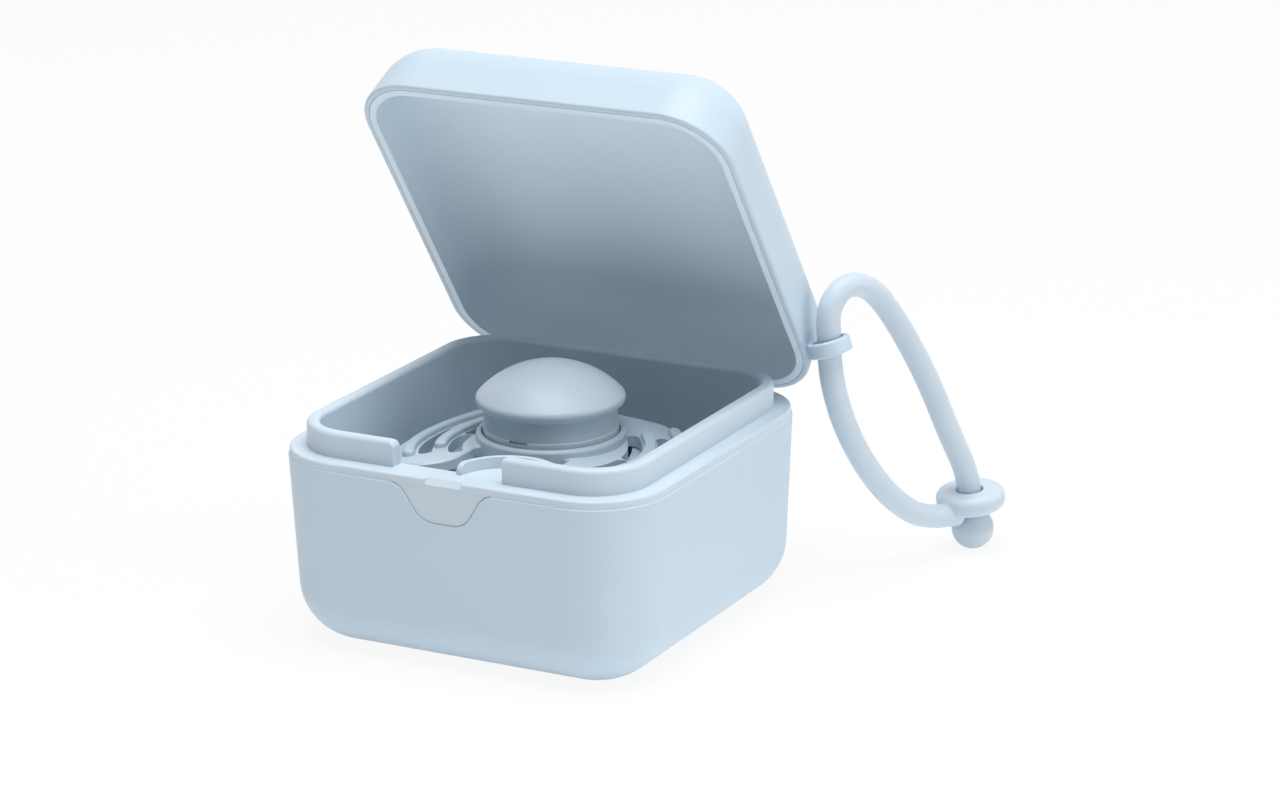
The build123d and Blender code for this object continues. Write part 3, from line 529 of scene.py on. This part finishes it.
# ---------------------------------------------------------------- the strap
@dataclass
class StrapRoute:
    """Where the strap lies: its plane, the ring and the ball, and the cord's middle line.

    Distances along the plane are measured from the eyelet.

    Attributes:
        eyelet: The middle of the lid's eyelet, in X and Y.
        turn: The way the loop lies, in degrees from +X.
        ring_lean: How far the ring's axis leans back towards the eyelet, in degrees.
        boss_fall: How far the ring's boss slopes down, in degrees.
        cord_radius: The cord's radius.
        ring_along: How far along the plane the ring's middle is.
        ball_radius: The ball's radius.
        ring_thickness: The ring's thickness.
        ball_gap: Room between the ring and the ball.
        ball_stub: How far the ball's neck reaches beyond the ball.
        lead: How far above the ring's middle the cord stays on the ring's axis.
        boss: Where the cord runs into the ring's boss, along the plane and up.
        boss_run: How far before the boss the cord takes the boss's direction.
        points: The cord's control points, along the plane and up, in millimetres.
    """

    eyelet: tuple[float, float] = (44.3 * MM, 36.287 * MM)
    turn: float = 66.5
    ring_lean: float = 6.0
    boss_fall: float = 8.0
    cord_radius: float = 2.4 * MM
    ring_along: float = 38.0 * MM
    ball_radius: float = 4.3 * MM
    ring_thickness: float = 4.0 * MM
    ball_gap: float = 0.3 * MM
    ball_stub: float = 0.6 * MM
    lead: float = 5.0 * MM
    boss: tuple[float, float] = (30.2 * MM, 8.7 * MM)
    boss_run: float = 5.4 * MM
    points: tuple[tuple[float, float], ...] = (
        (32.2, 25.4),
        (26.8, 37.0),
        (20.2, 48.3),
        (13.6, 57.6),
        (8.6, 61.6),
        (3.3, 62.1),
        (-0.45, 58.2),
        (-0.25, 53.0),
        (0.0, 47.6),
        (0.8, 42.2),
        (3.2, 35.0),
        (6.8, 27.9),
        (11.8, 20.6),
        (17.8, 14.2),
    )

    def at(self, along: float, up: float) -> Vector:
        """Gives a point of the strap's plane as a point in space.

        Args:
            along: Its distance along the plane.
            up: Its height.

        Returns:
            The point.
        """
        turn = math.radians(self.turn)
        return Vector((
            self.eyelet[0] + along * math.cos(turn), self.eyelet[1] + along * math.sin(turn), up
        ))

    def direction(self, along: float, up: float) -> Vector:
        """Gives a direction in the strap's plane as a direction in space.

        Args:
            along: Its part along the plane.
            up: Its upward part.

        Returns:
            The direction, of length 1.
        """
        return (self.at(along, up) - self.at(0.0, 0.0)).normalized()

    @property
    def ring_axis(self) -> Vector:
        """The ring's axis, upwards."""
        lean = math.radians(self.ring_lean)
        return self.direction(-math.sin(lean), math.cos(lean))

    @property
    def ring_to_ball(self) -> float:
        """From the ring's middle to the ball's, along the ring's axis."""
        return self.ring_thickness / 2 + self.ball_gap + self.ball_radius

    @property
    def ring_middle(self) -> Vector:
        """The ring's middle."""
        lean = math.radians(self.ring_lean)
        return self.at(self.ring_along, self.ball_radius + self.ring_to_ball * math.cos(lean))

    @property
    def ball_middle(self) -> Vector:
        """The ball's middle, one ball radius above the table."""
        return self.ring_middle - self.ring_to_ball * self.ring_axis

    @property
    def boss_direction(self) -> Vector:
        """The way the cord runs into the ring's boss."""
        fall = math.radians(self.boss_fall)
        return self.direction(math.cos(fall), -math.sin(fall))

    def line(self) -> list[Vector]:
        """Gives the cord's control points, from the ball to the ring's boss."""
        end = self.ball_radius + self.ball_stub - self.ring_to_ball
        boss = self.at(*self.boss)
        first = [self.ring_middle + along * self.ring_axis for along in (end, self.lead)]
        free = [self.at(along * MM, up * MM) for along, up in self.points]
        return [*first, *free, boss - self.boss_run * self.boss_direction, boss]


@dataclass
class Strap:
    """The soft strap: its cord, the ring on one end and the ball on the other.

    Attributes:
        route: Where the strap lies.
        ring_radius: The ring's outer radius.
        ring_bore_gap: Room between the cord and the ring's bore, on each side.
        ring_easing: Rounding of the ring's edges.
        easing_steps: Facets in each of those roundings.
        boss_length: The boss's length.
        overlap: How far the boss and the ball's neck reach over the cord's ends.
        neck_blend: Voxel size of the soft blends, in metres.
        ring_rounds: How many times the ring's skin is smoothed.
        ball_rounds: How many times the ball's skin is smoothed.
        length: The cord's length along its middle line, measured once it is made.
    """

    route: StrapRoute = field(default_factory=StrapRoute)
    ring_radius: float = 7.0 * MM
    ring_bore_gap: float = 0.3 * MM
    ring_easing: float = 1.5 * MM
    easing_steps: int = 5
    boss_length: float = 4.6 * MM
    overlap: float = 0.3 * MM
    neck_blend: float = 0.22 * MM
    ring_rounds: int = 5
    ball_rounds: int = 3
    length: float = field(default=0.0, init=False)

    def build(self, palette: Palette) -> list[bpy.types.Object]:
        """Args:
            palette: The object's finishes.

        Returns:
            The strap's pieces.
        """
        cord, ring, ball = self.make_cord(), self.make_ring(), self.make_ball()
        for piece, node in ((cord, "strap_cord"), (ring, "strap_ring"), (ball, "strap_ball")):
            dress(piece, palette.strap)
            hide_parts(node)
            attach(piece, "strap")
        tuple(self.route.line()[-1])
        return [cord, ring, ball]

    def make_cord(self) -> bpy.types.Object:
        """Makes the cord as one smooth spline through the eyelet.

        Returns:
            The cord.
        """
        curve = bpy.data.curves.new("strap_cord_soft", "CURVE")
        curve.dimensions = "3D"
        spline = curve.splines.new("NURBS")
        line = self.route.line()[::-1]
        spline.points.add(len(line) - 1)
        for point, place in zip(spline.points, line):
            point.co = (*place, 1.0)
        spline.order_u = 3
        spline.use_endpoint_u = True
        spline.resolution_u = CORD_STEPS
        curve.bevel_depth = self.route.cord_radius
        curve.bevel_resolution = CORD_FACETS
        curve.use_fill_caps = True
        cord = bpy.data.objects.new("strap_cord_soft", curve)
        bpy.context.scene.collection.objects.link(cord)
        self.length = spline.calc_length()
        return cord

    def cylinder(
        self, name: str, radius: float, start: Vector, way: Vector, length: float
    ) -> bpy.types.Object:
        """Adds a round bar.

        Args:
            name: Its name.
            radius: Its radius.
            start: The middle of its first end.
            way: The direction that it runs in.
            length: Its length.

        Returns:
            The bar.
        """
        select_none()
        bpy.ops.mesh.primitive_cylinder_add(
            vertices=ROUND_SIDES, radius=radius, depth=length,
            location=start + way * (length / 2), rotation=way.to_track_quat("Z", "Y").to_euler(),
        )
        return newest(name)

    def make_ring(self) -> bpy.types.Object:
        """Makes the flat soft ring with its boss and bore.

        Returns:
            The ring.
        """
        route = self.route
        axis = route.ring_axis
        thick = route.ring_thickness
        ring_start = route.ring_middle - axis * thick / 2
        ring = self.cylinder("strap_ring_soft", self.ring_radius, ring_start, axis, thick)
        modify(
            ring, "BEVEL", width=self.ring_easing, segments=self.easing_steps, limit_method="ANGLE"
        )
        way = route.boss_direction
        boss_start = route.at(*route.boss) - way * self.overlap
        boss = self.cylinder("boss", route.cord_radius, boss_start, way, self.boss_length)
        merge(ring, boss, "UNION")
        bore_start = route.ring_middle - axis * 2 * thick
        bore_radius = route.cord_radius + self.ring_bore_gap
        bore = self.cylinder("bore", bore_radius, bore_start, axis, 4 * thick)
        merge(ring, bore, "DIFFERENCE")
        melt(ring, self.neck_blend, self.ring_rounds)
        settle(ring)
        return ring

    def make_ball(self) -> bpy.types.Object:
        """Makes the ball with the short neck that the cord runs out of.

        Returns:
            The ball.
        """
        route = self.route
        select_none()
        bpy.ops.mesh.primitive_uv_sphere_add(
            segments=ROUND_SIDES, ring_count=BALL_BANDS,
            radius=route.ball_radius, location=route.ball_middle,
        )
        ball = newest("strap_ball_soft")
        neck_length = route.ball_radius + route.ball_stub + self.overlap
        neck = self.cylinder(
            "neck", route.cord_radius, route.ball_middle, route.ring_axis, neck_length
        )
        merge(ball, neck, "UNION")
        melt(ball, self.neck_blend, self.ball_rounds)
        settle(ball)
        return ball


# ---------------------------------------------------------------- the teat
@dataclass
class Teat:
    """The silicone teat that hangs below the pacifier's shield.

    Attributes:
        axis: Where its axis stands, in X and Y.
        bulb_radius: The bulb's radius.
        bulb_middle: Height of the bulb's middle.
        waist: Radius and height of its waist.
        root: Radius and height of its root, under the shield.
        flange: Radius, underside and top of the flange that the ring holds.
        neck_radius: Radius of the neck through the shield.
        root_overlap: How far the root's cone reaches below the waist.
        neck_overlap: How far the neck reaches into the root.
        voxel: Size of the steps that its skin is melted in.
        rounds: How many times its skin is smoothed.
    """

    axis: tuple[float, float] = (1.4 * MM, 0.6 * MM)
    bulb_radius: float = 8.0 * MM
    bulb_middle: float = 19.17 * MM
    waist: tuple[float, float] = (6.6 * MM, 25.6 * MM)
    root: tuple[float, float] = (10.5 * MM, 33.7 * MM)
    flange: tuple[float, float, float] = (9.0 * MM, 35.9 * MM, 37.3 * MM)
    neck_radius: float = 6.0 * MM
    root_overlap: float = 2.0 * MM
    neck_overlap: float = 1.0 * MM
    voxel: float = 0.3 * MM
    rounds: int = 6

    def build(self, palette: Palette) -> bpy.types.Object:
        """Args:
            palette: The object's finishes.

        Returns:
            The teat.
        """
        select_none()
        bpy.ops.mesh.primitive_uv_sphere_add(
            segments=ROUND_SIDES, ring_count=BALL_BANDS,
            radius=self.bulb_radius, location=(*self.axis, self.bulb_middle),
        )
        teat = newest("pacifier_teat_soft")
        waist_radius, waist_height = self.waist
        root_radius, root_top = self.root
        flange_radius, flange_bottom, flange_top = self.flange
        stack = (               # name, radius below and above, height of the bottom and the top
            ("root", waist_radius, root_radius, waist_height - self.root_overlap, root_top),
            ("neck", self.neck_radius, self.neck_radius, root_top - self.neck_overlap, flange_top),
            ("flange", flange_radius, flange_radius, flange_bottom, flange_top),
        )
        for step in stack:
            merge(teat, self.cone(*step), "UNION")
        melt(teat, self.voxel, self.rounds)
        settle(teat)
        dress(teat, palette.teat)
        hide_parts("pacifier_teat")
        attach(teat, "pacifier")
        return teat

    def cone(
        self, name: str, lower: float, upper: float, bottom: float, top: float
    ) -> bpy.types.Object:
        """Adds a cone or bar along the teat's axis.

        Args:
            name: Its name.
            lower: Its radius at the bottom.
            upper: Its radius at the top.
            bottom: Height of its bottom.
            top: Height of its top.

        Returns:
            The cone.
        """
        select_none()
        bpy.ops.mesh.primitive_cone_add(
            vertices=ROUND_SIDES, radius1=lower, radius2=upper, depth=top - bottom,
            location=(*self.axis, (bottom + top) / 2),
        )
        return newest(name)


# ---------------------------------------------------------------- the moulded pieces
@dataclass
class MouldedPieces:
    """The rigid pieces, whose shapes come from the frame as they are.

    Attributes:
        nodes: The frame's objects by name.
    """

    nodes: dict[str, bpy.types.Object]

    def dress_all(self, palette: Palette) -> None:
        """Gives every moulded piece its finish.

        Args:
            palette: The object's finishes.
        """
        finishes = {
            "outer_shell": palette.case,
            "inner_tub": palette.tub,
            "hinge_pin_left": palette.pin,
            "hinge_pin_right": palette.pin,
            "lid_shell": palette.case,
            "lid_liner": palette.liner,
            "tray_insert": palette.tray,
            "pacifier_shield": palette.pacifier,
            "pacifier_ring": palette.pacifier,
            "pacifier_button": palette.pacifier,
        }
        for name, finish in finishes.items():
            dress(self.nodes[name], finish)


# ---------------------------------------------------------------- camera, light and floor
def way_out(bearing: float, height: float) -> Vector:
    """Gives the direction from the case towards a camera or a lamp.

    Args:
        bearing: Its bearing, in radians from the front towards the right.
        height: Its height, in radians.

    Returns:
        The direction, of length 1.
    """
    level = math.cos(height)
    return Vector((math.sin(bearing) * level, -math.cos(bearing) * level, math.sin(height)))


@dataclass(frozen=True)
class ProductCamera:
    """The camera at the photograph's viewing angle.

    Attributes:
        target: The point that it looks at.
        azimuth: Its bearing, in degrees from the front towards the right.
        elevation: Its height, in degrees.
        distance: How far it stands from its target.
        roll: Its turn about its own axis, in degrees.
        lens: Its focal length, in millimetres.
        sensor: Its sensor's width, in millimetres.
        shift: Its frame's shift, in shares of the frame's width.
        nearest: The distance from which it sees things.
    """

    target: tuple[float, float, float] = (9.98 * MM, 0.0, 43.42 * MM)
    azimuth: float = 28.67
    elevation: float = 17.41
    distance: float = 839.3 * MM
    roll: float = -0.95
    lens: float = 122.39
    sensor: float = 36.0
    shift: tuple[float, float] = (0.0406, 0.0063)
    nearest: float = 10.0 * MM

    def place(self) -> None:
        """Places the camera and makes it the scene's own."""
        angles = (self.azimuth, self.elevation, self.roll)
        azimuth, elevation, roll = (math.radians(angle) for angle in angles)
        back = way_out(azimuth, elevation)
        right = Vector((math.cos(azimuth), math.sin(azimuth), 0.0))
        up = back.cross(right)
        turned_right = right * math.cos(roll) + up * math.sin(roll)
        turned_up = up * math.cos(roll) - right * math.sin(roll)
        data = bpy.data.cameras.new("product_camera")
        data.lens = self.lens
        data.sensor_width = self.sensor
        data.shift_x, data.shift_y = self.shift
        data.clip_start = self.nearest
        camera = bpy.data.objects.new("product_camera", data)
        axes = Matrix((turned_right, turned_up, back)).transposed().to_4x4()
        camera.matrix_world = Matrix.Translation(Vector(self.target) + back * self.distance) @ axes
        bpy.context.scene.collection.objects.link(camera)
        bpy.context.scene.camera = camera


@dataclass(frozen=True)
class SoftBox:
    """A large soft lamp.

    Attributes:
        name: The lamp's name.
        bearing: Its bearing, in degrees from the front towards the right.
        height: Its height, in degrees.
        away: How far it stands from the case.
        side: The length of its square side.
        power: Its power, in watts.
    """

    name: str
    bearing: float
    height: float
    away: float
    side: float
    power: float

    def place(self, target: Vector) -> None:
        """Places the lamp, facing a target.

        Args:
            target: The point that it faces.
        """
        way = way_out(math.radians(self.bearing), math.radians(self.height))
        data = bpy.data.lights.new(self.name, "AREA")
        data.shape = "SQUARE"
        data.size = self.side
        data.energy = self.power
        lamp = bpy.data.objects.new(self.name, data)
        lamp.location = target + way * self.away
        lamp.rotation_euler = way.to_track_quat("Z", "Y").to_euler()
        bpy.context.scene.collection.objects.link(lamp)


@dataclass
class Studio:
    """The plain pale floor, the soft lamps and the even light all round.

    Attributes:
        target: The point that the lamps face.
        floor_side: The floor's side.
        floor_grey: How light the floor itself is.
        sky: Tint of the even light.
        ambient: Strength of the even light.
        floor_glow: Light that the floor adds to what it throws back, as a lit table does.
        shadow_share: How much of the floor's own shade shows to the camera.
        lamps: The lamps.
    """

    target: tuple[float, float, float] = (10.0 * MM, 0.0, 40.0 * MM)
    floor_side: float = 6.0
    floor_grey: float = 0.90
    sky: Colour = (0.97, 0.985, 1.0)
    ambient: float = 0.135
    floor_glow: float = 0.22
    shadow_share: float = 0.10
    lamps: tuple[SoftBox, ...] = (
        SoftBox("key_above", 60.0, 83.0, 1.3, 1.1, 20.0),
        SoftBox("side_right", 100.0, 18.0, 1.5, 0.9, 4.7),
    )

    def build(self) -> None:
        """Builds the floor, lamps and world."""
        view = bpy.context.scene.view_settings
        view.view_transform = "Standard"
        view.look = "None"
        for lamp in self.lamps:
            lamp.place(Vector(self.target))
        self.light_world()
        self.lay_floor()

    def light_world(self) -> None:
        """Lights the world evenly and shows it white to the camera."""
        world = bpy.data.worlds.new("studio_world")
        world.use_nodes = True
        nodes, links = world.node_tree.nodes, world.node_tree.links
        nodes.clear()
        seen = self.seen_directly(nodes, links)
        mix = nodes.new("ShaderNodeMixShader")
        for index, (colour, strength) in enumerate(((self.sky, self.ambient), (WHITE, 1.0)), 1):
            background = nodes.new("ShaderNodeBackground")
            background.inputs["Color"].default_value = (*colour, 1.0)
            background.inputs["Strength"].default_value = strength
            links.new(background.outputs[0], mix.inputs[index])
        links.new(seen, mix.inputs[0])
        output = nodes.new("ShaderNodeOutputWorld")
        links.new(mix.outputs[0], output.inputs["Surface"])
        bpy.context.scene.world = world

    def seen_directly(
        self, nodes: bpy.types.Nodes, links: bpy.types.NodeLinks
    ) -> bpy.types.NodeSocket:
        """Tells rays from the camera, mirrors and glass from the rays that light the object.

        Args:
            nodes: The tree's nodes.
            links: The tree's links.

        Returns:
            A socket that is 1 for those rays and 0 for the others.
        """
        path = nodes.new("ShaderNodeLightPath")
        total = path.outputs["Is Camera Ray"]
        for name in ("Is Glossy Ray", "Is Transmission Ray"):
            either = nodes.new("ShaderNodeMath")
            either.operation = "MAXIMUM"
            links.new(total, either.inputs[0])
            links.new(path.outputs[name], either.inputs[1])
            total = either.outputs[0]
        return total

    def lay_floor(self) -> None:
        """Lays the pale floor, which shows white and keeps a trace of shadow."""
        select_none()
        bpy.ops.mesh.primitive_plane_add(size=self.floor_side, location=(0.0, 0.0, 0.0))
        floor = newest("studio_floor")
        sheet = NodeSheet("studio_floor")
        seen = self.seen_directly(sheet.nodes, sheet.links)
        light = {"Color": (*WHITE, 1.0)}
        white = sheet.join("ShaderNodeEmission", {**light, "Strength": 1.0})
        glow = sheet.join("ShaderNodeEmission", {**light, "Strength": self.floor_glow})
        grey = scaled(WHITE, self.floor_grey)
        shade = sheet.join("ShaderNodeBsdfDiffuse", {"Color": (*grey, 1.0)})
        shown = sheet.join("ShaderNodeMixShader", {0: self.shadow_share, 1: white, 2: shade})
        lit = sheet.join("ShaderNodeAddShader", {0: shade, 1: glow})
        mix = sheet.join("ShaderNodeMixShader", {0: seen, 1: lit, 2: shown})
        sheet.add("ShaderNodeOutputMaterial", None, {"Surface": mix})
        dress(floor, sheet.material)


def main() -> None:
    """Builds the scene in order and reports each piece."""
    logging.basicConfig(level=logging.INFO, format="%(name)s: %(message)s")
    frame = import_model()
    select_none()
    ProductCamera().place()
    palette = Palette()
    for piece in Strap().build(palette):
        LOG.info("made %s", piece.name)
    teat = Teat().build(palette)
    LOG.info("made %s", teat.name)
    MouldedPieces(frame["nodes"]).dress_all(palette)
    Studio().build()


if __name__ == "__main__":
    main()
